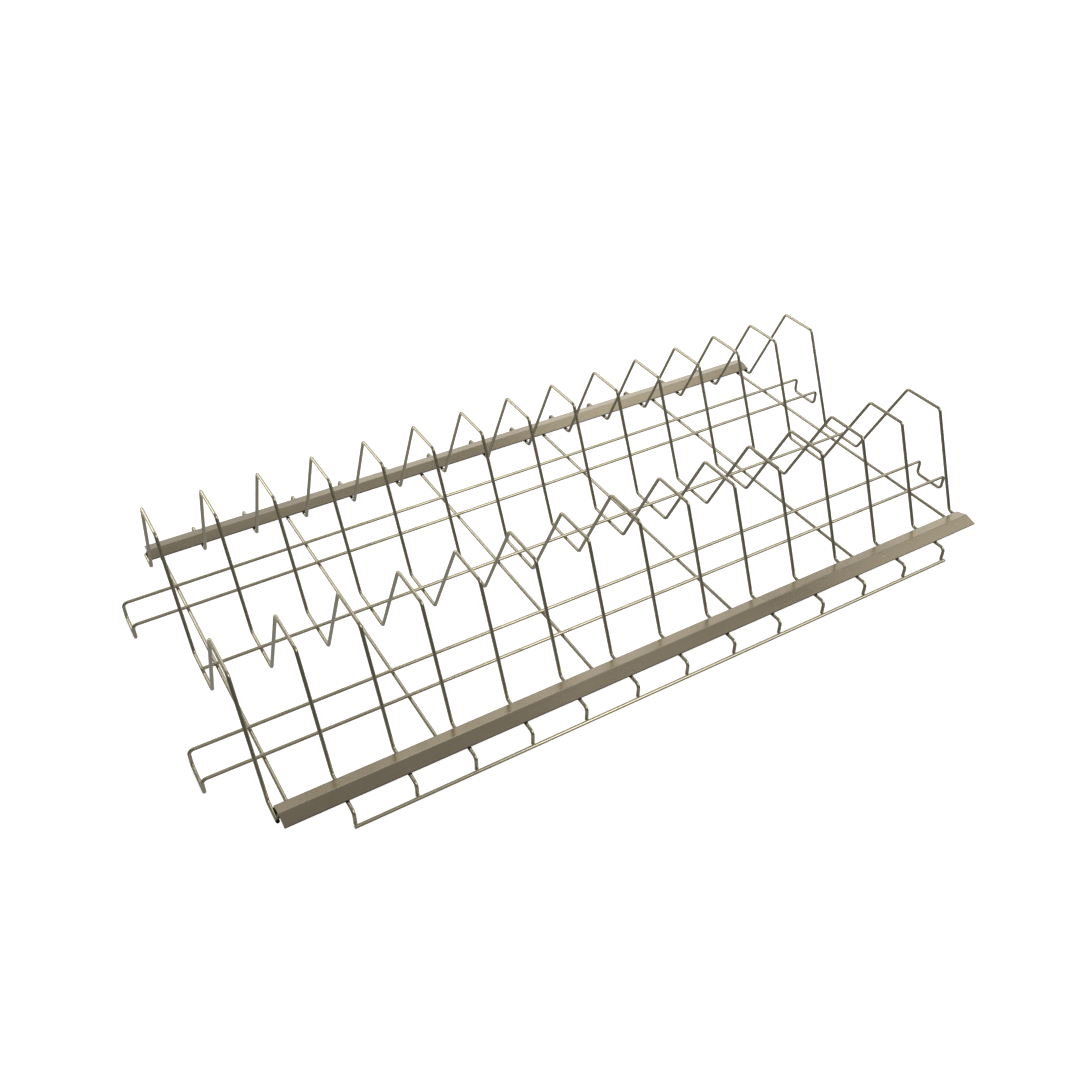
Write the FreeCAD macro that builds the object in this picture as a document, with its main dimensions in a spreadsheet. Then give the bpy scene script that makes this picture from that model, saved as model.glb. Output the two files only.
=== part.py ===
"""Pan drying rack: a welded rack of coated round wire with two folded sheet rails.

+X runs along the rack, +Y to the rear rail, +Z up, millimetres.
The origin is in the middle of the plane that the rack's lowest wires stand on.

Layers, from below:
  * the hook rods, the end bars of the loop frames and the tips of the hooks,
  * the divider wires' flats and the cross rods, all in one layer,
  * the long rods of the loop frames and the centre rod, lying on that layer,
  * the two rails, a low inverted V of sheet, lying on the same layer outside the arches.
Crossing wires touch along their skins, where the real ones are welded.
"""
import FreeCAD, Part
import math
import os
import Sketcher

V = FreeCAD.Vector
doc = FreeCAD.newDocument("PanDryingRack")

# ---------------------------------------------------------------- driving dimensions
sheet = doc.addObject("Spreadsheet::Sheet", "Dims")
DIMS = [
    ("wire_dia", 2.2, "diameter of every wire, with its coating"),
    ("bend_rad", 3.0, "bend radius of the wires, on the centre line"),
    ("divider_pitch", 36.0, "from one divider wire to the next"),
    ("layer_height", 10.1, "axis of the divider wires' flats above the base plane"),
    ("arch_rise", 68.2, "axis of an arch's top above the flats"),
    ("foot_outer", 110.7, "outer foot of an arch from the rack's middle plane"),
    ("top_outer", 80.3, "outer corner of an arch's top"),
    ("top_inner", 50.4, "inner corner of an arch's top"),
    ("foot_inner", 17.3, "inner foot of an arch"),
    ("hook_reach", 139.3, "axis of a hook's drop from the middle plane"),
    ("hook_drop", 9.4, "length of a hook's drop below the flats"),
    ("end_reach", 124.6, "half length of the two end wires, which have no hooks"),
    ("cross_half", 127.0, "half length of a cross rod"),
    ("rod_x_outer", 243.5, "outer pair of cross rods from the middle"),
    ("rod_x_mid", 156.0, "middle pair of cross rods"),
    ("rod_x_inner", 52.4, "inner pair of cross rods"),
    ("loop_outer", 80.8, "outer long rod of a loop frame from the middle plane"),
    ("loop_inner", 57.6, "inner long rod of a loop frame"),
    ("loop_reach", 277.9, "axis of a loop frame's end bar from the middle"),
    ("end_bar_z", 1.1, "axis of a loop frame's end bar above the base plane"),
    ("centre_half", 253.4, "half length of the centre rod"),
    ("hook_rod_z", 1.1, "axis of a hook rod above the base plane"),
    ("hook_rod_half", 217.4, "half length of a hook rod"),
    ("end_round", 0.45, "rounding of a cut wire end under the coating"),
    ("rail_start", -250.7, "left end of both rails"),
    ("rail_length", 504.6, "length of a rail"),
    ("rail_inner", 115.7, "inner edge of a rail from the middle plane"),
    ("rail_crease", 123.5, "crease of a rail"),
    ("rail_outer", 131.8, "outer edge of a rail"),
    ("rail_rise", 3.3, "top of the crease above the two edges"),
    ("rail_sheet", 0.8, "thickness of the rails' sheet"),
    ("rail_bend", 1.1, "outer radius of the crease"),
]
for row, (alias, value, note) in enumerate(DIMS, start=1):
    sheet.set("A%d" % row, alias)
    sheet.set("B%d" % row, str(value))
    sheet.set("C%d" % row, note)
    sheet.setAlias("B%d" % row, alias)
doc.recompute()
D = {alias: float(getattr(sheet, alias)) for alias, _, _ in DIMS}


# ---------------------------------------------------------------- helpers
def plane_of(body, role):
    for feature in body.Origin.OriginFeatures:
        if getattr(feature, "Role", "") == role:
            return feature
    raise RuntimeError(role)


def new_body(name):
    body = doc.addObject("PartDesign::Body", name)
    body.Label = name
    return body


def new_sketch(body, name, role, offset=None):
    sketch = body.newObject("Sketcher::SketchObject", name)
    sketch.AttachmentSupport = [(plane_of(body, role), "")]
    sketch.MapMode = "FlatFace"
    if offset is not None:
        sketch.setExpression("AttachmentOffset.Base.z", offset)
    return sketch


def bind(sketch, constraint, expression):
    index = sketch.addConstraint(constraint)
    name = "c%d" % index
    sketch.renameConstraint(index, name)
    sketch.setExpression("Constraints." + name, expression)
    return index


def place_point(sketch, geo, pos, x_value, x_expr, y_value, y_expr):
    """Tie a point to the sketch's axes: by a bound distance, or onto the axis where it is zero."""
    if x_expr is None:
        sketch.addConstraint(Sketcher.Constraint("PointOnObject", geo, pos, -2))
    else:
        bind(sketch, Sketcher.Constraint("DistanceX", -1, 1, geo, pos, x_value), x_expr)
    if y_expr is None:
        sketch.addConstraint(Sketcher.Constraint("PointOnObject", geo, pos, -1))
    else:
        bind(sketch, Sketcher.Constraint("DistanceY", -1, 1, geo, pos, y_value), y_expr)


def bend_arc(before, centre, after, radius):
    """An arc from one run to the next, drawn anticlockwise, and which of its ends meets the first run."""
    left = (before - centre).cross(after - centre).z > 0
    start, end = (before, after) if left else (after, before)
    a0 = math.atan2(start.y - centre.y, start.x - centre.x)
    a1 = math.atan2(end.y - centre.y, end.x - centre.x)
    if a1 < a0:
        a1 += 2 * math.pi
    return Part.ArcOfCircle(Part.Circle(centre, V(0, 0, 1), radius), a0, a1), (1 if left else 2)


def bent_path(sketch, corners):
    """A bent wire's centre line: straight runs joined by tangent arcs of the bend radius.

    corners: (x, x expression, y, y expression), ends first and last; every other entry is the
    sharp corner that the bend rounds off.
    """
    radius = D["bend_rad"]
    pts = [V(c[0], c[2], 0) for c in corners]
    starts, ends, arcs = [pts[0]], [], []
    for i in range(1, len(pts) - 1):
        a = (pts[i - 1] - pts[i]).normalize()
        b = (pts[i + 1] - pts[i]).normalize()
        turn = math.pi - math.acos(max(-1.0, min(1.0, a.dot(b))))
        cut = radius * math.tan(turn / 2)
        centre = pts[i] + (a + b).normalize() * (radius / math.cos(turn / 2))
        ends.append(pts[i] + a * cut)
        starts.append(pts[i] + b * cut)
        arcs.append(bend_arc(ends[-1], centre, starts[-1], radius))
    ends.append(pts[-1])
    for s, e in zip(starts, ends):
        sketch.addGeometry(Part.LineSegment(s, e), False)
    for k, (arc, first) in enumerate(arcs):
        g = sketch.addGeometry(arc, False)
        sketch.addConstraint(Sketcher.Constraint("Tangent", k, 2, g, first))
        sketch.addConstraint(Sketcher.Constraint("Tangent", g, 3 - first, k + 1, 1))
        bind(sketch, Sketcher.Constraint("Radius", g, radius), "Dims.bend_rad")
    for k in range(len(arcs)):
        point = sketch.addGeometry(Part.Point(pts[k + 1]), True)
        sketch.addConstraint(Sketcher.Constraint("PointOnObject", point, 1, k))
        sketch.addConstraint(Sketcher.Constraint("PointOnObject", point, 1, k + 1))
        place_point(sketch, point, 1, *corners[k + 1])
    place_point(sketch, 0, 1, *corners[0])
    place_point(sketch, len(starts) - 1, 2, *corners[-1])


def wire_circle(sketch, x_value=0.0, x_expr=None, y_value=0.0, y_expr=None):
    g = sketch.addGeometry(Part.Circle(V(x_value, y_value, 0), V(0, 0, 1), D["wire_dia"] / 2), False)
    bind(sketch, Sketcher.Constraint("Diameter", g, D["wire_dia"]), "Dims.wire_dia")
    place_point(sketch, g, 3, x_value, x_expr, y_value, y_expr)


def pipe(body, name, profile, spine):
    feature = body.newObject("PartDesign::AdditivePipe", name)
    feature.Profile = profile
    feature.Spine = spine
    feature.Mode = "Standard"
    return feature


def round_wire_ends(body, base, centres):
    """Round the rim of each cut end: the circular edges whose centres are the given points."""
    names = []
    for i, edge in enumerate(base.Shape.Edges, start=1):
        if not isinstance(edge.Curve, Part.Circle):
            continue
        if abs(edge.Curve.Radius - D["wire_dia"] / 2) > 1e-4 or abs(edge.Length - math.pi * D["wire_dia"]) > 1e-3:
            continue
        if any(edge.Curve.Center.distanceToPoint(c) < 1e-3 for c in centres):
            names.append("Edge%d" % i)
    if len(names) != len(centres):
        raise RuntimeError("%s: %d end rims found" % (body.Label, len(names)))
    fillet = body.newObject("PartDesign::Fillet", body.Name + "_EndRounds")
    fillet.Base = (base, names)
    fillet.setExpression("Radius", "Dims.end_round")
    return fillet


# ---------------------------------------------------------------- divider wires
# In the YZ plane the sketch's x is the rack's Y and its y is Z. The wire starts at the rear.
def divider_corners(hooked):
    z0, z1 = D["layer_height"], D["layer_height"] + D["arch_rise"]
    flat, top = "Dims.layer_height", "Dims.layer_height + Dims.arch_rise"
    half = [("foot_outer", z0, flat), ("top_outer", z1, top), ("top_inner", z1, top), ("foot_inner", z0, flat)]
    rear = [(D[n], "Dims." + n, z, e) for n, z, e in half]
    front = [(-D[n], "-Dims." + n, z, e) for n, z, e in reversed(half)]
    if hooked:
        tip, tip_e = z0 - D["hook_drop"], "Dims.layer_height - Dims.hook_drop"
        head = [(D["hook_reach"], "Dims.hook_reach", tip, tip_e), (D["hook_reach"], "Dims.hook_reach", z0, flat)]
        tail = [(-D["hook_reach"], "-Dims.hook_reach", z0, flat), (-D["hook_reach"], "-Dims.hook_reach", tip, tip_e)]
    else:
        head = [(D["end_reach"], "Dims.end_reach", z0, flat)]
        tail = [(-D["end_reach"], "-Dims.end_reach", z0, flat)]
    return head + rear + front + tail


def divider_wire(number):
    hooked = number not in (1, 15)
    name = "divider_wire_%02d" % number
    body = new_body(name)
    path = new_sketch(body, name + "_Path", "YZ_Plane")
    corners = divider_corners(hooked)
    bent_path(path, corners)
    if hooked:
        # the wire's first run is upright, so its section lies level
        section = new_sketch(body, name + "_Section", "XY_Plane", "Dims.layer_height - Dims.hook_drop")
        wire_circle(section, 0, None, D["hook_reach"], "Dims.hook_reach")
    else:
        # the XZ plane faces -Y
        section = new_sketch(body, name + "_Section", "XZ_Plane", "-Dims.end_reach")
        wire_circle(section, 0, None, D["layer_height"], "Dims.layer_height")
    doc.recompute()
    swept = pipe(body, name + "_Wire", section, path)
    doc.recompute()
    first, last = corners[0], corners[-1]
    round_wire_ends(body, swept, [V(0, first[0], first[2]), V(0, last[0], last[2])])
    body.setExpression("Placement.Base.x", "Dims.divider_pitch * %d" % (number - 8))
    return body


bodies = [divider_wire(n) for n in range(1, 16)]


# ---------------------------------------------------------------- straight rods
def straight_rod(name, role, half, expressions):
    """A rod padded both ways from its middle; role is the plane that its section lies in."""
    body = new_body(name)
    section = new_sketch(body, name + "_Section", role)
    wire_circle(section)
    pad = body.newObject("PartDesign::Pad", name + "_Rod")
    pad.Profile = section
    pad.Midplane = True
    pad.setExpression("Length", "2 * Dims." + half)
    doc.recompute()
    along = V(1, 0, 0) if role == "YZ_Plane" else V(0, 1, 0)
    round_wire_ends(body, pad, [along * D[half], along * -D[half]])
    for axis, expression in expressions.items():
        body.setExpression("Placement.Base." + axis, expression)
    return body


ROD_X = ["-Dims.rod_x_outer", "-Dims.rod_x_mid", "-Dims.rod_x_inner",
         "Dims.rod_x_inner", "Dims.rod_x_mid", "Dims.rod_x_outer"]
for k, x in enumerate(ROD_X, start=1):
    bodies.append(straight_rod("cross_rod_%d" % k, "XZ_Plane", "cross_half",
                               {"x": x, "z": "Dims.layer_height"}))

bodies.append(straight_rod("centre_rod", "YZ_Plane", "centre_half",
                           {"z": "Dims.layer_height + Dims.wire_dia"}))
bodies.append(straight_rod("front_hook_rod", "YZ_Plane", "hook_rod_half",
                           {"y": "-(Dims.hook_reach + Dims.wire_dia)", "z": "Dims.hook_rod_z"}))
bodies.append(straight_rod("rear_hook_rod", "YZ_Plane", "hook_rod_half",
                           {"y": "Dims.hook_reach + Dims.wire_dia", "z": "Dims.hook_rod_z"}))


# ---------------------------------------------------------------- loop frames
# One wire bent to a closed loop: two long runs on top of the dividers, and at each end beyond the
# end wires both of them turn down to a short bar across. The loop is made of four swept bends
# that meet in the middle of the upright legs.
def loop_frame(name, side):
    body = new_body(name)
    z_top = D["layer_height"] + D["wire_dia"]
    top = "Dims.layer_height + Dims.wire_dia"
    z_mid = (z_top + D["end_bar_z"]) / 2
    mid = "(Dims.layer_height + Dims.wire_dia + Dims.end_bar_z) / 2"
    sign = "" if side > 0 else "-"

    def long_run(part, run):
        """A long run with its two downward bends, in a plane along the rack; that plane faces -Y."""
        y_expr = sign + "Dims." + run
        path = new_sketch(body, name + part + "Path", "XZ_Plane", "-(%s)" % y_expr)
        reach = D["loop_reach"]
        bent_path(path, [
            (-reach, "-Dims.loop_reach", z_mid, mid),
            (-reach, "-Dims.loop_reach", z_top, top),
            (reach, "Dims.loop_reach", z_top, top),
            (reach, "Dims.loop_reach", z_mid, mid),
        ])
        section = new_sketch(body, name + part + "Section", "XY_Plane", mid)
        wire_circle(section, -reach, "-Dims.loop_reach", side * D[run], y_expr)
        doc.recompute()
        pipe(body, name + part + "Run", section, path)
        doc.recompute()

    def end_bar(part, end):
        """An end bar with its two upward bends, in a plane across the rack."""
        x, x_expr = end * D["loop_reach"], ("" if end > 0 else "-") + "Dims.loop_reach"
        path = new_sketch(body, name + part + "Path", "YZ_Plane", x_expr)
        bar, bar_e = D["end_bar_z"], "Dims.end_bar_z"
        bent_path(path, [
            (side * D["loop_outer"], sign + "Dims.loop_outer", z_mid, mid),
            (side * D["loop_outer"], sign + "Dims.loop_outer", bar, bar_e),
            (side * D["loop_inner"], sign + "Dims.loop_inner", bar, bar_e),
            (side * D["loop_inner"], sign + "Dims.loop_inner", z_mid, mid),
        ])
        section = new_sketch(body, name + part + "Section", "XY_Plane", mid)
        wire_circle(section, x, x_expr, side * D["loop_outer"], sign + "Dims.loop_outer")
        doc.recompute()
        pipe(body, name + part + "Bar", section, path)
        doc.recompute()

    long_run("Outer", "loop_outer")
    end_bar("Left", -1)
    long_run("Inner", "loop_inner")
    end_bar("Right", 1)
    return body


bodies.append(loop_frame("rear_loop_frame", 1))
bodies.append(loop_frame("front_loop_frame", -1))


# ---------------------------------------------------------------- rails
# A strip of sheet folded to a low inverted V. Its two lower edges rest on the wires.
def flange(apex, low, thickness):
    """Upward normal of a flange whose top face runs from the crease and whose lower corner is low."""
    span = low - apex
    lean = math.asin(thickness / span.Length)
    angle = math.atan2(span.y, span.x) + (lean if span.x > 0 else -lean)
    along = V(math.cos(angle), math.sin(angle), 0)
    normal = V(-along.y, along.x, 0)
    return along, (normal if normal.y > 0 else normal * -1)


def meet(p, u, q, w):
    """Where the line through p along u meets the line through q along w."""
    det = -u.x * w.y + u.y * w.x
    r = q - p
    return p + u * ((-r.x * w.y + r.y * w.x) / det)


def edges_along_x(shape, y, z):
    found = []
    for i, edge in enumerate(shape.Edges, start=1):
        ends = [v.Point for v in edge.Vertexes]
        if len(ends) == 2 and all(abs(p.y - y) < 1e-4 and abs(p.z - z) < 1e-4 for p in ends):
            found.append("Edge%d" % i)
    return found


def rail(name, side):
    body = new_body(name)
    section = new_sketch(body, name + "_Section", "YZ_Plane", "Dims.rail_start")
    sign = "" if side > 0 else "-"
    z0, base = D["layer_height"] + D["wire_dia"] / 2, "Dims.layer_height + Dims.wire_dia / 2"
    th = D["rail_sheet"]
    apex = V(D["rail_crease"], z0 + D["rail_rise"], 0)
    low_i, low_o = V(D["rail_inner"], z0, 0), V(D["rail_outer"], z0, 0)
    (u_i, n_i), (u_o, n_o) = flange(apex, low_i, th), flange(apex, low_o, th)
    under = meet(low_i, u_i, low_o, u_o)
    corners = [low_i, low_i + n_i * th, apex, low_o + n_o * th, low_o, under]
    pts = [V(side * c.x, c.y, 0) for c in corners]
    # 0: inner edge, 1: inner top face, 2: outer top face, 3: outer edge, 4: outer underside, 5: inner underside
    for k in range(6):
        section.addGeometry(Part.LineSegment(pts[k], pts[(k + 1) % 6]), False)
    for k in range(6):
        section.addConstraint(Sketcher.Constraint("Coincident", k, 2, (k + 1) % 6, 1))
    section.addConstraint(Sketcher.Constraint("Parallel", 1, 5))
    section.addConstraint(Sketcher.Constraint("Parallel", 2, 4))
    section.addConstraint(Sketcher.Constraint("Perpendicular", 0, 1))
    section.addConstraint(Sketcher.Constraint("Perpendicular", 3, 2))
    bind(section, Sketcher.Constraint("Distance", 0, 1, 0, 2, th), "Dims.rail_sheet")
    bind(section, Sketcher.Constraint("Distance", 3, 1, 3, 2, th), "Dims.rail_sheet")
    place_point(section, 0, 1, pts[0].x, sign + "Dims.rail_inner", z0, base)
    place_point(section, 4, 1, pts[4].x, sign + "Dims.rail_outer", z0, base)
    place_point(section, 1, 2, pts[2].x, sign + "Dims.rail_crease", pts[2].y, base + " + Dims.rail_rise")
    doc.recompute()
    pad = body.newObject("PartDesign::Pad", name + "_Strip")
    pad.Profile = section
    pad.setExpression("Length", "Dims.rail_length")
    doc.recompute()
    outside = body.newObject("PartDesign::Fillet", name + "_OuterBend")
    outside.Base = (pad, edges_along_x(pad.Shape, pts[2].x, pts[2].y))
    outside.setExpression("Radius", "Dims.rail_bend")
    doc.recompute()
    inside = body.newObject("PartDesign::Fillet", name + "_InnerBend")
    inside.Base = (outside, edges_along_x(outside.Shape, pts[5].x, pts[5].y))
    inside.setExpression("Radius", "Dims.rail_bend - Dims.rail_sheet")
    doc.recompute()
    return body


bodies.append(rail("rear_rail", 1))
bodies.append(rail("front_rail", -1))

# ---------------------------------------------------------------- checks and output
doc.recompute()
for obj in doc.Objects:
    if any(flag in obj.State for flag in ("Invalid", "Error")):
        raise RuntimeError("%s failed: %s %s" % (obj.Name, obj.State, obj.getStatusString()))
    if obj.TypeId == "Sketcher::SketchObject" and obj.solve() != 0:
        raise RuntimeError("%s is not solved" % obj.Name)

os.makedirs("parts", exist_ok=True)
for body in bodies:
    shape = body.Shape
    if shape.isNull() or not shape.isValid() or len(shape.Solids) != 1:
        raise RuntimeError("%s has no good single solid" % body.Label)
    shape.exportStep("parts/%s.step" % body.Label)
    box = shape.BoundBox
    print("%-18s %9.1f mm3  x %8.2f %8.2f  y %8.2f %8.2f  z %6.2f %6.2f" % (
        body.Label, shape.Volume, box.XMin, box.XMax, box.YMin, box.YMax, box.ZMin, box.ZMax))
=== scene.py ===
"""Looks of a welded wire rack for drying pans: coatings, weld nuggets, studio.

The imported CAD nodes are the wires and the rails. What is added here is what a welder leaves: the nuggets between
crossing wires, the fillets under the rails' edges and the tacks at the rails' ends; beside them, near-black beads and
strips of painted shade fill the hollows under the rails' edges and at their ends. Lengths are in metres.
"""
import math

import bmesh
import bpy
from mathutils import Matrix, Quaternion, Vector


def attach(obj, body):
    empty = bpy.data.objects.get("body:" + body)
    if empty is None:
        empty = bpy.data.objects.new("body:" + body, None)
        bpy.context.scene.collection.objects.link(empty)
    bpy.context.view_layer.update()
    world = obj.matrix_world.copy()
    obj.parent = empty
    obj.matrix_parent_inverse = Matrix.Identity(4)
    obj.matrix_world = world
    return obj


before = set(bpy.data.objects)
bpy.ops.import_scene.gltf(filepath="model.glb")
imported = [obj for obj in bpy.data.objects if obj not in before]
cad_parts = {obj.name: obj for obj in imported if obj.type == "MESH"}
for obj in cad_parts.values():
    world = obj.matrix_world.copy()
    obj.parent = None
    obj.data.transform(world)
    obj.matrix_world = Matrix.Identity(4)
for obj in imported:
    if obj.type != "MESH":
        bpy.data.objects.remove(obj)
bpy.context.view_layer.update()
MM = 0.001


# ---------------------------------------------------------------- node helpers
class Tree:
    """A few short words for building a material's nodes."""

    def __init__(self, material):
        material.use_nodes = True
        self.t = material.node_tree
        self.t.nodes.clear()

    def add(self, kind, **props):
        n = self.t.nodes.new(kind)
        for k, v in props.items():
            setattr(n, k, v)
        return n

    def link(self, a, b):
        self.t.links.new(a, b)

    def place(self):
        return self.add("ShaderNodeTexCoord").outputs["Object"]

    def stretched(self, place, scale, turn=(0, 0, 0)):
        n = self.add("ShaderNodeMapping", vector_type="POINT")
        n.inputs["Scale"].default_value = scale
        n.inputs["Rotation"].default_value = turn
        self.link(place, n.inputs["Vector"])
        return n.outputs["Vector"]

    def noise(self, place, scale, detail=2.0, rough=0.5, distortion=0.0):
        n = self.add("ShaderNodeTexNoise", noise_dimensions="3D")
        n.inputs["Scale"].default_value = scale
        n.inputs["Detail"].default_value = detail
        n.inputs["Roughness"].default_value = rough
        n.inputs["Distortion"].default_value = distortion
        self.link(place, n.inputs["Vector"])
        return n.outputs["Fac"]

    def spots(self, place, scale, lo, hi):
        """1 inside small round spots scattered over the surface, 0 outside them."""
        n = self.add("ShaderNodeTexVoronoi", voronoi_dimensions="3D", feature="F1")
        n.inputs["Scale"].default_value = scale
        self.link(place, n.inputs["Vector"])
        return self.ramp(n.outputs["Distance"], lo, hi, 1.0, 0.0)

    def ramp(self, value, lo, hi, a=0.0, b=1.0):
        n = self.add("ShaderNodeMapRange", clamp=True, interpolation_type="SMOOTHSTEP")
        n.inputs["From Min"].default_value = lo
        n.inputs["From Max"].default_value = hi
        n.inputs["To Min"].default_value = a
        n.inputs["To Max"].default_value = b
        self.link(value, n.inputs["Value"])
        return n.outputs["Result"]

    def math(self, op, a, b=None):
        n = self.add("ShaderNodeMath", operation=op)
        for k, x in enumerate((a, b)):
            if x is None:
                continue
            if isinstance(x, (int, float)):
                n.inputs[k].default_value = x
            else:
                self.link(x, n.inputs[k])
        return n.outputs[0]

    def mix(self, factor, a, b, blend="MIX"):
        n = self.add("ShaderNodeMix", data_type="RGBA", blend_type=blend, clamp_factor=True)
        for name, x in (("Factor", factor), ("A", a), ("B", b)):
            s = [i for i in n.inputs if i.name == name and i.enabled][0]
            if isinstance(x, tuple):
                s.default_value = (*x, 1.0)
            elif isinstance(x, (int, float)):
                s.default_value = x
            else:
                self.link(x, s)
        return [o for o in n.outputs if o.enabled][0]

    def bump(self, height, strength, distance, after=None):
        n = self.add("ShaderNodeBump")
        n.inputs["Strength"].default_value = strength
        n.inputs["Distance"].default_value = distance
        self.link(height, n.inputs["Height"])
        if after is not None:
            self.link(after, n.inputs["Normal"])
        return n.outputs["Normal"]

    def finish(self, colour, roughness, normal, **fixed):
        b = self.add("ShaderNodeBsdfPrincipled")
        o = self.add("ShaderNodeOutputMaterial")
        self.link(colour, b.inputs["Base Color"])
        self.link(roughness, b.inputs["Roughness"])
        if normal is not None:
            self.link(normal, b.inputs["Normal"])
        for k, v in fixed.items():
            b.inputs[k.replace("_", " ")].default_value = v
        self.link(b.outputs["BSDF"], o.inputs["Surface"])


# ------------------------------------------------------------------- materials
def wire_coat():
    """Champagne epoxy coat on round wire: even, satin, slightly thick and lumpy."""
    m = bpy.data.materials.new("wire_coat")
    t = Tree(m)
    p = t.place()
    cloud = t.noise(p, 14.0, 3.0, 0.55)
    grain = t.noise(p, 420.0, 2.0, 0.6)
    col = t.mix(t.ramp(cloud, 0.32, 0.68), WIRE_A, WIRE_B)
    col = t.mix(t.ramp(grain, 0.35, 0.7, 0.0, 0.10), col, WIRE_C)
    dirt = t.spots(p, 70.0, 0.04, 0.10)
    col = t.mix(t.math("MULTIPLY", dirt, 0.14), col, (0.05, 0.04, 0.025))
    rough = t.math("ADD", t.ramp(grain, 0.3, 0.7, -0.015, 0.02), t.ramp(cloud, 0.3, 0.7, WIRE_R - 0.02, WIRE_R + 0.02))
    peel = t.noise(p, 1100.0, 2.0, 0.5)
    lumps = t.noise(p, 160.0, 1.0, 0.4)
    n = t.bump(lumps, 0.02, 0.05 * MM)
    n = t.bump(peel, 0.02, 0.01 * MM, n)
    t.finish(col, rough, n, Metallic=WIRE_M, IOR=1.5, Specular_IOR_Level=0.5, Coat_Weight=1.0, Coat_Roughness=0.12)
    return m


def rail_coat():
    """The same coat on folded sheet: wide even faces with faint drawing lines,
    a little thinner on the fold, and cut edges darkened by thin coat and by painted shade."""
    m = bpy.data.materials.new("rail_coat")
    t = Tree(m)
    p = t.place()
    cloud = t.noise(t.stretched(p, (0.35, 1, 1)), 30.0, 3.0, 0.55)
    lines = t.noise(t.stretched(p, (6, 900, 900)), 1.0, 2.0, 0.5)
    grain = t.noise(p, 520.0, 2.0, 0.6)
    col = t.mix(t.ramp(cloud, 0.3, 0.7), RAIL_A, RAIL_B)
    col = t.mix(t.ramp(lines, 0.4, 0.75, 0.0, 0.06), col, RAIL_C)
    col = t.mix(t.ramp(grain, 0.4, 0.75, 0.0, 0.22), col, RAIL_D)
    # how far a point is from the fold, across the rack
    xyz = t.add("ShaderNodeSeparateXYZ")
    t.link(p, xyz.inputs[0])
    out = t.math("SUBTRACT", t.math("ABSOLUTE", xyz.outputs["Y"]), 123.5 * MM)
    off = t.math("ABSOLUTE", out)
    fold = t.ramp(off, 0.25 * MM, 1.1 * MM, 1.0, 0.0)
    col = t.mix(t.math("MULTIPLY", fold, t.ramp(grain, 0.3, 0.6, 0.15, 0.4)), col, (0.50, 0.46, 0.35))
    # the cut edges of the sheet, darkened: the coat is thin there, and the darkening is also painted shade for the
    # rims, which face down into the dark under the rail
    edge = t.math("MAXIMUM", t.ramp(out, 8.12 * MM, 8.20 * MM), t.ramp(out, -7.70 * MM, -7.62 * MM, 1.0, 0.0))
    col = t.mix(edge, col, (0.20, 0.17, 0.12))
    specks = t.spots(p, 70.0, 0.035, 0.085)
    col = t.mix(t.math("MULTIPLY", specks, 0.45), col, (0.62, 0.58, 0.50))
    rough = t.math("ADD", t.ramp(lines, 0.3, 0.7, -0.004, 0.006), t.ramp(cloud, 0.3, 0.7, RAIL_R - 0.02, RAIL_R + 0.02))
    peel = t.noise(p, 900.0, 2.0, 0.5)
    n = t.bump(lines, 0.006, 0.02 * MM)
    n = t.bump(peel, 0.12, 0.03 * MM, n)
    t.finish(col, rough, n, Metallic=RAIL_M, IOR=1.5, Specular_IOR_Level=0.5, Coat_Weight=0.15, Coat_Roughness=0.25)
    return m


def weld_coat():
    """The coat where it has run into a weld: glossier, and a little darker than the wire, in blotches."""
    m = bpy.data.materials.new("weld_coat")
    t = Tree(m)
    p = t.place()
    blotch = t.noise(p, 600.0, 3.0, 0.6)
    col = t.mix(t.ramp(blotch, 0.35, 0.7), tuple(0.72 * c for c in WIRE_A), tuple(0.95 * c for c in WIRE_B))
    rough = t.ramp(blotch, 0.3, 0.7, 0.30, 0.46)
    n = t.bump(blotch, 0.5, 0.10 * MM)
    t.finish(col, rough, n, Metallic=WIRE_M, IOR=1.5, Specular_IOR_Level=0.5, Coat_Weight=0.35, Coat_Roughness=0.15)
    return m


def painted_shade_coat():
    """Painted shade, nearly black and dull, for the hollows by the end wires' tacks and under the rails' edges."""
    m = bpy.data.materials.new("painted_shade_coat")
    t = Tree(m)
    p = t.place()
    blotch = t.noise(p, 900.0, 3.0, 0.6)
    col = t.mix(t.ramp(blotch, 0.4, 0.75), (0.005, 0.004, 0.003), (0.032, 0.026, 0.017))
    rough = t.ramp(blotch, 0.3, 0.7, 0.50, 0.70)
    n = t.bump(blotch, 0.6, 0.10 * MM)
    t.finish(col, rough, n, Metallic=0.0, IOR=1.5, Specular_IOR_Level=0.15)
    return m


WIRE_A, WIRE_B, WIRE_C = (0.535, 0.478, 0.318), (0.573, 0.517, 0.352), (0.492, 0.433, 0.280)
WIRE_R, WIRE_M = 0.19, 0.9
RAIL_A, RAIL_B, RAIL_C, RAIL_D = (0.438, 0.370, 0.256), (0.464, 0.394, 0.274), (0.490, 0.419, 0.296), (0.397, 0.333, 0.225)
RAIL_R, RAIL_M = 0.27, 0.9

wire_material, rail_material, weld_material, painted_shade_material = wire_coat(), rail_coat(), weld_coat(), painted_shade_coat()
for name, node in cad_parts.items():
    coat = rail_material if name.endswith("_rail") else wire_material
    node.data.materials.clear()
    node.data.materials.append(coat)


# ----------------------------------------------------------------- weld pieces
WIRE = 1.1 * MM                       # half the wire's thickness
FLAT_Z = 10.1 * MM                    # axis of the flats and the cross rods
RODS = [x * MM for x in (-243.5, -156.0, -52.4, 52.4, 156.0, 243.5)]
DIVIDERS = [36.0 * MM * (n - 8) for n in range(1, 16)]


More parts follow.
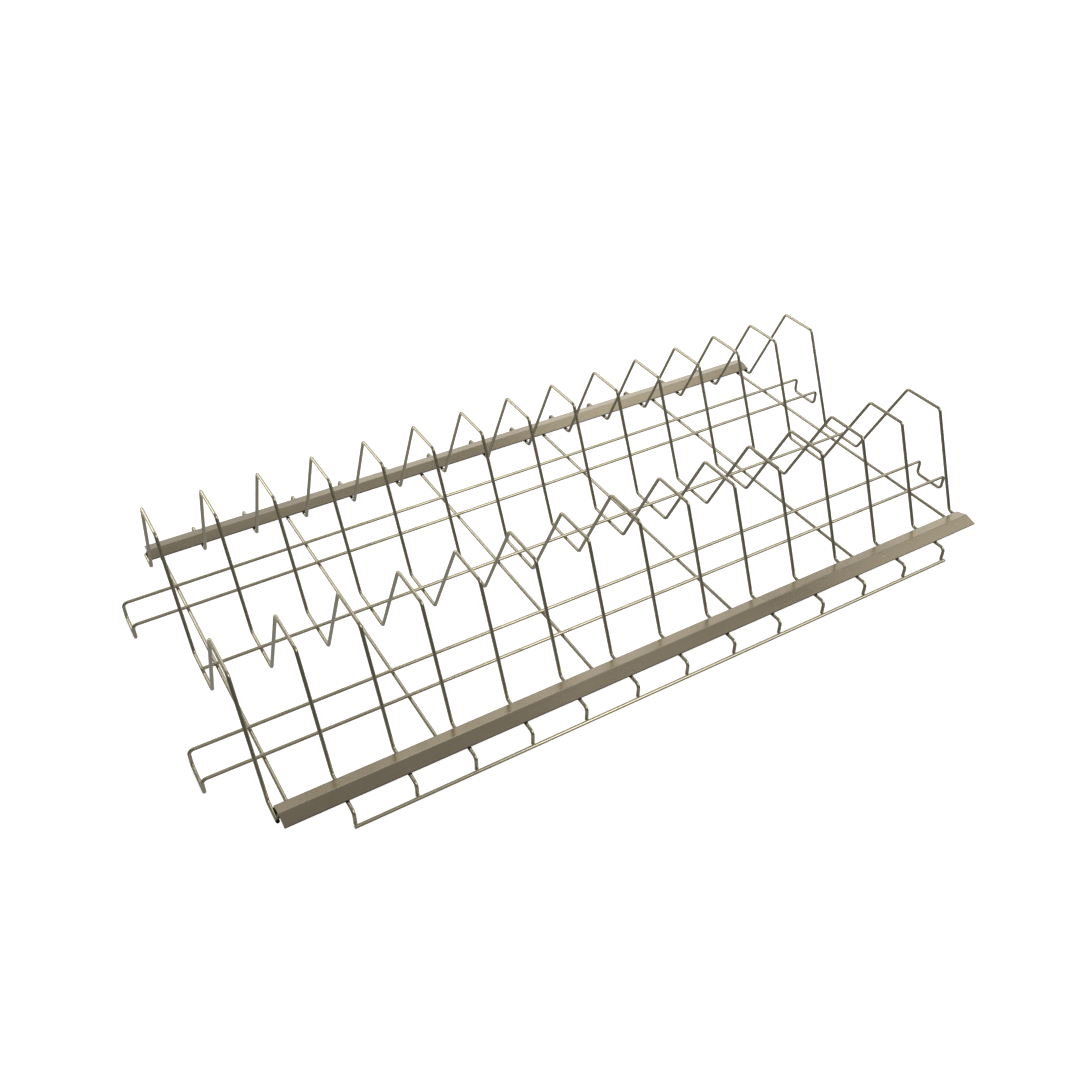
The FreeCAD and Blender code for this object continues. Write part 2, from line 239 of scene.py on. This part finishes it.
def nugget(bm, at, a, n, reach=1.04, pinch=0.26, seed=0):
    """The metal and coat that fill the corner between two crossed wires.

    at is the point where they touch, a runs along the upper wire, n points from
    the lower wire to the upper one. The fill is an hourglass whose rims lie on
    the two wires' skins.
    """
    a, n = Vector(a).normalized(), Vector(n).normalized()
    b = n.cross(a)
    at = Vector(at)
    around, levels = 20, 6
    rings = []
    for k in range(levels + 1):
        t = 2.0 * k / levels - 1.0
        ring = []
        for i in range(around):
            th = 2 * math.pi * i / around
            wob = 1.0 + 0.045 * math.sin(3 * th + seed * 1.7) + 0.03 * math.sin(5 * th + seed * 2.9)
            full = reach * wob * MM
            full = min(full, 0.985 * WIRE)
            up = WIRE - math.sqrt(WIRE ** 2 - (full * math.sin(th)) ** 2)
            down = -(WIRE - math.sqrt(WIRE ** 2 - (full * math.cos(th)) ** 2))
            rho = full - pinch * MM * (1 - t * t)
            z = (up + down) / 2 + t * ((up - down) / 2 + 0.03 * MM)
            ring.append(bm.verts.new(at + a * (rho * math.cos(th)) + b * (rho * math.sin(th)) + n * z))
        rings.append(ring)
    for lo, hi in zip(rings, rings[1:]):
        for i in range(around):
            j = (i + 1) % around
            bm.faces.new((lo[i], lo[j], hi[j], hi[i]))
    for ring, side in ((rings[0], -1), (rings[-1], 1)):
        mid = bm.verts.new(at + n * (side * 0.25 * MM))
        for i in range(around):
            j = (i + 1) % around
            bm.faces.new((ring[j], ring[i], mid) if side < 0 else (ring[i], ring[j], mid))


def bead(bm, at, along, across, up, size, seed=0, lift=0.0):
    """A small lump of weld: a squashed ball with a rippled top, half sunk in."""
    along, across, up = Vector(along).normalized(), Vector(across).normalized(), Vector(up).normalized()
    at = Vector(at)
    la, lb, lc = (s * MM for s in size)
    rows, around = 9, 18
    grid = []
    for k in range(1, rows):
        ph = math.pi * k / rows
        ring = []
        for i in range(around):
            th = 2 * math.pi * i / around
            r = 1.0 + 0.05 * math.sin(2 * th + seed) + 0.04 * math.sin(3 * ph + 2 * th + seed * 1.3)
            u, v, w = math.sin(ph) * math.cos(th), math.sin(ph) * math.sin(th), math.cos(ph)
            ring.append(bm.verts.new(at + r * (along * (u * la) + across * (v * lb) + up * (w * lc + lift * MM))))
        grid.append(ring)
    top, low = bm.verts.new(at + up * (lc + lift * MM)), bm.verts.new(at + up * (-lc + lift * MM))
    flip = along.cross(across).dot(up) < 0

    def face(*v):
        bm.faces.new(tuple(reversed(v)) if flip else v)

    for i in range(around):
        j = (i + 1) % around
        face(top, grid[0][i], grid[0][j])
        face(low, grid[-1][j], grid[-1][i])
        for lo, hi in zip(grid, grid[1:]):
            face(lo[i], hi[i], hi[j], lo[j])


def piece(name, fill, material=None):
    """Builds one mesh piece of the weldment and hangs it on the rack's body."""
    bm = bmesh.new()
    fill(bm)
    bmesh.ops.recalc_face_normals(bm, faces=bm.faces)
    mesh = bpy.data.meshes.new(name)
    bm.to_mesh(mesh)
    bm.free()
    mesh.shade_smooth()
    mesh.materials.append(material or weld_material)
    ob = bpy.data.objects.new(name, mesh)
    bpy.context.scene.collection.objects.link(ob)
    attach(ob, "root")
    return ob


def loop_welds(side):
    def fill(bm):
        k = 0
        for y in (80.8, 57.6):
            for x in RODS:
                nugget(bm, (x, side * y * MM, FLAT_Z + WIRE), (1, 0, 0), (0, 0, 1), seed=k + 3 * side)
                k += 1
    return fill


def centre_welds(bm):
    for k, x in enumerate(DIVIDERS + RODS):
        nugget(bm, (x, 0, FLAT_Z + WIRE), (1, 0, 0), (0, 0, 1), seed=0.7 * k)


def hook_welds(side):
    def fill(bm):
        for k, x in enumerate(DIVIDERS[1:-1]):
            nugget(bm, (x, side * 140.4 * MM, 1.25 * MM), (1, 0, 0), (0, side, 0), reach=0.9, seed=1.1 * k + side)
    return fill


def rail_welds(edge, level, size, wires):
    """Small fillets along one edge of a rail, where the wires go in under it."""
    def fill(bm):
        for k, x in enumerate(wires):
            bead(bm, (x, edge * MM, level * MM), (1, 0, 0), (0, 1, 0), (0, 0, 1), size, seed=k + 0.1 * edge)
    return fill


def strand(bm, path, radii, around=12, rows=4):
    """A round strand of weld along a few points, thick and thin by turns."""
    pts, rad = [], []
    for k in range(len(path) - 1):
        for i in range(rows):
            f = i / rows
            pts.append(Vector(path[k]).lerp(Vector(path[k + 1]), f))
            e = f * f * (3 - 2 * f)
            rad.append(radii[k] * (1 - e) + radii[k + 1] * e)
    pts.append(Vector(path[-1]))
    rad.append(radii[-1])
    rings = []
    side = Vector((0, 1, 0))
    for k, p in enumerate(pts):
        way = (pts[min(k + 1, len(pts) - 1)] - pts[max(k - 1, 0)]).normalized()
        u = (side - way * side.dot(way)).normalized()
        v = way.cross(u)
        ring = []
        for i in range(around):
            th = 2 * math.pi * i / around
            r = rad[k] * (1 + 0.05 * math.sin(2 * th + 1.3 * k))
            ring.append(bm.verts.new((p + u * (r * math.cos(th)) + v * (r * math.sin(th))) * MM))
        rings.append(ring)
    for lo, hi in zip(rings, rings[1:]):
        for i in range(around):
            j = (i + 1) % around
            bm.faces.new((lo[i], lo[j], hi[j], hi[i]))
    for ring, p, step in ((rings[0], pts[0], pts[0] - pts[1]), (rings[-1], pts[-1], pts[-1] - pts[-2])):
        mid = bm.verts.new((p + step.normalized() * 0.25) * MM)
        for i in range(around):
            bm.faces.new((ring[i], ring[(i + 1) % around], mid))


def end_tack(side):
    """The tack from the fold of the rail's left end down to the end wire."""
    def fill(bm):
        strand(bm, ((-250.55, side * 123.3, 13.95), (-251.15, side * 123.5, 13.0), (-251.75, side * 123.9, 11.25)), (0.62, 0.42, 0.70))
    return fill


def end_painted_shade(side):
    """A near-black strip of painted shade in the gap between the end wire's flank and the rail's cut end, where one
    looks into the hollow under the rail, and a near-black cap of painted shade on the wire's own end."""
    def fill(bm):
        rows = []
        ys = [115.95 + 0.55 * k for k in range(16)]
        for k, y in enumerate(ys):
            under = 11.2 + (min(y, 123.5) - 115.7) * 0.295
            wob = 0.04 * math.sin(1.9 * k)
            foot, head = (-251.22, 10.45), (-250.66, min(under + 0.25, 13.4))
            if y > 123.5:
                head = (-250.72, 13.4 - 2.6 * (y - 123.5))
            outline = (
                (foot[0], foot[1] - 0.15), (foot[0] + 0.42 + wob, foot[1] - 0.05),
                (head[0] + 0.22, head[1] - 0.25), (head[0] + 0.10, head[1]),
                (head[0] - 0.16 + wob, head[1] - 0.05), (foot[0] - 0.02, foot[1] + 0.55),
            )
            rows.append([bm.verts.new(Vector((x, side * y, z)) * MM) for x, z in outline])
        for lo, hi in zip(rows, rows[1:]):
            for i in range(6):
                j = (i + 1) % 6
                bm.faces.new((lo[i], lo[j], hi[j], hi[i]))
        bm.faces.new(rows[0])
        bm.faces.new(rows[-1])
        bead(bm, (-251.9 * MM, side * 124.75 * MM, 10.15 * MM), (1, 0, 0), (0, 1, 0), (0, 0, 1), (1.2, 0.8, 1.2), seed=5 + side)
    return fill


piece("weld_rear_loop", loop_welds(1))
piece("weld_front_loop", loop_welds(-1))
piece("weld_centre_rod", centre_welds)
piece("weld_rear_hooks", hook_welds(1))
piece("weld_front_hooks", hook_welds(-1))
piece("weld_rear_rail", rail_welds(131.75, 11.2, (0.85, 0.5, 0.34), DIVIDERS[1:-1]))
piece("weld_front_rail", rail_welds(-115.75, 11.2, (0.85, 0.5, 0.34), DIVIDERS[1:] + RODS))
# near-black beads of painted shade where the wires go into the dark under the rails: the rear rail's inner edge and the
# front rail's outer edge
piece("painted_shade_rear_rail", rail_welds(114.75, 10.35, (1.25, 1.5, 1.25), DIVIDERS[1:] + RODS), painted_shade_material)
piece("painted_shade_front_rail", rail_welds(-131.7, 10.4, (1.18, 0.95, 1.05), DIVIDERS[1:-1]), painted_shade_material)
piece("weld_rear_end", end_tack(1))
piece("weld_front_end", end_tack(-1))
# near-black strips and caps of painted shade in the hollows at the rails' left ends
piece("painted_shade_rear_end", end_painted_shade(1), painted_shade_material)
piece("painted_shade_front_end", end_painted_shade(-1), painted_shade_material)


# ---------------------------------------------------------------------- studio
def floor():
    """A plain white sweep. It is lifted a little by its own glow, so that the
    rack's soft shadows stay faint, and it sends no light back at the rack: the
    cards under it stand for that."""
    mesh = bpy.data.meshes.new("floor")
    s = 14.0
    mesh.from_pydata([(-s, -s, 0), (s, -s, 0), (s, s, 0), (-s, s, 0)], [], [(0, 1, 2, 3)])
    ob = bpy.data.objects.new("floor", mesh)
    bpy.context.scene.collection.objects.link(ob)
    m = bpy.data.materials.new("floor_white")
    m.use_nodes = True
    b = m.node_tree.nodes["Principled BSDF"]
    b.inputs["Base Color"].default_value = (0.9, 0.9, 0.9, 1)
    b.inputs["Roughness"].default_value = 1.0
    b.inputs["Specular IOR Level"].default_value = 0.0
    b.inputs["Emission Color"].default_value = (1, 1, 1, 1)
    # the glow rises away from the rack, where the tent's light no longer reaches
    t = m.node_tree
    place = t.nodes.new("ShaderNodeTexCoord")
    far = t.nodes.new("ShaderNodeVectorMath")
    far.operation = "LENGTH"
    t.links.new(place.outputs["Object"], far.inputs[0])
    rise = t.nodes.new("ShaderNodeMapRange")
    rise.interpolation_type = "SMOOTHSTEP"
    for k, v in (("From Min", 0.34), ("From Max", 0.62), ("To Min", GLOW), ("To Max", 1.02)):
        rise.inputs[k].default_value = v
    t.links.new(far.outputs["Value"], rise.inputs["Value"])
    t.links.new(rise.outputs["Result"], b.inputs["Emission Strength"])
    mesh.materials.append(m)
    ob.location.z = -0.0002
    ob.visible_diffuse = ob.visible_glossy = ob.visible_shadow = False
    return ob


def backdrop():
    """A white shell far round the floor, so that low views end in white too."""
    bm = bmesh.new()
    radius, around, rows = 13.5, 64, 12
    rings = []
    for k in range(rows + 1):
        up = 0.5 * math.pi * k / rows
        if k == rows:
            rings.append([bm.verts.new((0, 0, radius * 0.7))])
            continue
        rings.append([bm.verts.new((radius * math.cos(up) * math.cos(2 * math.pi * i / around), radius * math.cos(up) * math.sin(2 * math.pi * i / around), radius * 0.7 * math.sin(up) - 0.01)) for i in range(around)])
    for lo, hi in zip(rings, rings[1:]):
        for i in range(around):
            j = (i + 1) % around
            bm.faces.new((lo[j], lo[i], hi[i], hi[j]) if len(hi) > 1 else (lo[j], lo[i], hi[0]))
    mesh = bpy.data.meshes.new("backdrop")
    bm.to_mesh(mesh)
    bm.free()
    mesh.shade_smooth()
    m = bpy.data.materials.new("backdrop_white")
    m.use_nodes = True
    b = m.node_tree.nodes["Principled BSDF"]
    b.inputs["Base Color"].default_value = (0.0, 0.0, 0.0, 1)
    b.inputs["Specular IOR Level"].default_value = 0.0
    b.inputs["Emission Color"].default_value = (1, 1, 1, 1)
    b.inputs["Emission Strength"].default_value = 1.02
    mesh.materials.append(m)
    ob = bpy.data.objects.new("backdrop", mesh)
    bpy.context.scene.collection.objects.link(ob)
    ob.visible_diffuse = ob.visible_glossy = ob.visible_shadow = False
    return ob


def card(name, wall, centre, size, level):
    """One white card of the light tent round the rack, giving off its own light."""
    way, wide = {
        "back": ((0, -1, 0), (1, 0, 0)), "front": ((0, 1, 0), (1, 0, 0)),
        "right": ((-1, 0, 0), (0, 1, 0)), "left": ((1, 0, 0), (0, 1, 0)),
        "top": ((0, 0, -1), (1, 0, 0)), "floor": ((0, 0, 1), (1, 0, 0)),
    }[wall]
    z = -Vector(way)
    x = Vector(wide)
    y = z.cross(x)
    data = bpy.data.lights.new(name, "AREA")
    data.shape = "RECTANGLE"
    data.size, data.size_y = size
    data.energy = level * BRIGHT * math.pi * size[0] * size[1]
    ob = bpy.data.objects.new(name, data)
    ob.matrix_world = Matrix.Translation(centre) @ Matrix((x, y, z)).transposed().to_4x4()
    ob.visible_camera = False
    bpy.context.scene.collection.objects.link(ob)
    return ob


GLOW, BRIGHT = 0.80, 1.0
floor()
backdrop()
world = bpy.data.worlds.new("studio")
bpy.context.scene.world = world
world.use_nodes = True
world.node_tree.nodes["Background"].inputs["Color"].default_value = (1, 1, 1, 1)
world.node_tree.nodes["Background"].inputs["Strength"].default_value = 0.10

for row in (
    # name, wall of the tent, centre, size, level
    ("back_1", "back", (-0.150, 0.650, 0.150), (0.30, 0.30), 0.50),
    ("back_2", "back", (-0.150, 0.650, 0.450), (0.30, 0.30), 0.62),
    ("back_3", "back", (-0.150, 0.650, 0.850), (0.30, 0.50), 0.70),
    ("back_4", "back", (-0.450, 0.650, 0.450), (0.30, 0.30), 2.80),
    ("back_5", "back", (-0.900, 0.650, 0.450), (0.60, 0.30), 0.44),
    ("back_6", "back", (0.150, 0.650, 0.150), (0.30, 0.30), 0.82),
    ("back_7", "back", (0.150, 0.650, 0.450), (0.30, 0.30), 0.66),
    ("back_8", "back", (0.150, 0.650, 0.850), (0.30, 0.50), 1.64),
    ("back_9", "back", (0.450, 0.650, 0.150), (0.30, 0.30), 1.10),
    ("back_10", "back", (0.450, 0.650, 0.450), (0.30, 0.30), 0.38),
    ("back_11", "back", (0.450, 0.650, 0.850), (0.30, 0.50), 0.78),
    ("back_12", "back", (0.750, 0.650, 0.150), (0.30, 0.30), 1.00),
    ("back_13", "back", (0.750, 0.650, 0.450), (0.30, 0.30), 0.04),
    ("floor_1", "floor", (-0.200, -0.100, -0.020), (0.40, 0.60), 0.20),
    ("floor_2", "floor", (0.000, 0.425, -0.020), (0.80, 0.45), 0.78),
    ("floor_3", "floor", (-0.800, 0.425, -0.020), (0.80, 0.45), 1.26),
    ("floor_4", "floor", (0.200, -0.100, -0.020), (0.40, 0.60), 0.10),
    ("floor_5", "floor", (0.650, 0.425, -0.020), (0.50, 0.45), 0.26),
    ("front_1", "front", (0.600, -1.100, 0.775), (0.60, 0.65), 1.64),
    ("left_1", "left", (-1.200, -0.550, 0.700), (1.10, 0.80), 0.10),
    ("left_2", "left", (-1.200, 0.325, 0.700), (0.65, 0.80), 0.10),
    ("right_1", "right", (0.900, -0.300, 0.775), (0.60, 0.65), 0.94),
    ("right_2", "right", (0.900, -0.850, 0.775), (0.50, 0.65), 2.18),
    ("right_3", "right", (0.900, 0.150, 0.775), (0.30, 0.65), 0.04),
    ("right_4", "right", (0.900, 0.475, 0.225), (0.35, 0.45), 1.02),
    ("right_5", "right", (0.900, 0.475, 0.775), (0.35, 0.65), 0.74),
    ("top_1", "top", (0.000, 0.000, 1.100), (0.60, 0.60), 0.16),
    ("top_2", "top", (0.000, -0.850, 1.100), (0.60, 0.50), 1.04),
    ("top_3", "top", (0.000, 0.475, 1.100), (0.60, 0.35), 0.16),
    ("top_4", "top", (-0.750, 0.000, 1.100), (0.90, 0.60), 0.16),
    ("top_5", "top", (-0.750, -0.450, 1.100), (0.90, 0.30), 0.16),
    ("top_6", "top", (-0.750, -0.850, 1.100), (0.90, 0.50), 0.16),
    ("top_7", "top", (-0.750, 0.475, 1.100), (0.90, 0.35), 0.16),
    ("top_8", "top", (0.450, 0.000, 1.100), (0.30, 0.60), 0.28),
    ("top_9", "top", (0.450, -0.450, 1.100), (0.30, 0.30), 2.78),
    ("top_10", "top", (0.450, -0.850, 1.100), (0.30, 0.50), 3.98),
    ("top_11", "top", (0.450, 0.475, 1.100), (0.30, 0.35), 0.24),
    ("top_12", "top", (0.750, 0.000, 1.100), (0.30, 0.60), 0.04),
    ("top_13", "top", (0.750, -0.450, 1.100), (0.30, 0.30), 1.26),
    ("top_14", "top", (0.750, -0.850, 1.100), (0.30, 0.50), 2.32),
    ("top_15", "top", (0.750, 0.475, 1.100), (0.30, 0.35), 1.40),
):
    card(*row)

camera_data = bpy.data.cameras.new("camera")
camera_data.sensor_width = 36.0
camera_data.lens = 36.465
camera_data.clip_start, camera_data.clip_end = 0.01, 60.0
camera = bpy.data.objects.new("camera", camera_data)
camera.location = (-0.31852, -0.49087, 0.47697)
camera.rotation_mode = "QUATERNION"
camera.rotation_quaternion = Quaternion((0.869769, 0.415780, -0.119218, -0.237521))
bpy.context.scene.collection.objects.link(camera)
bpy.context.scene.camera = camera

bpy.context.scene.view_settings.view_transform = "Standard"
bpy.context.scene.view_settings.look = "None"
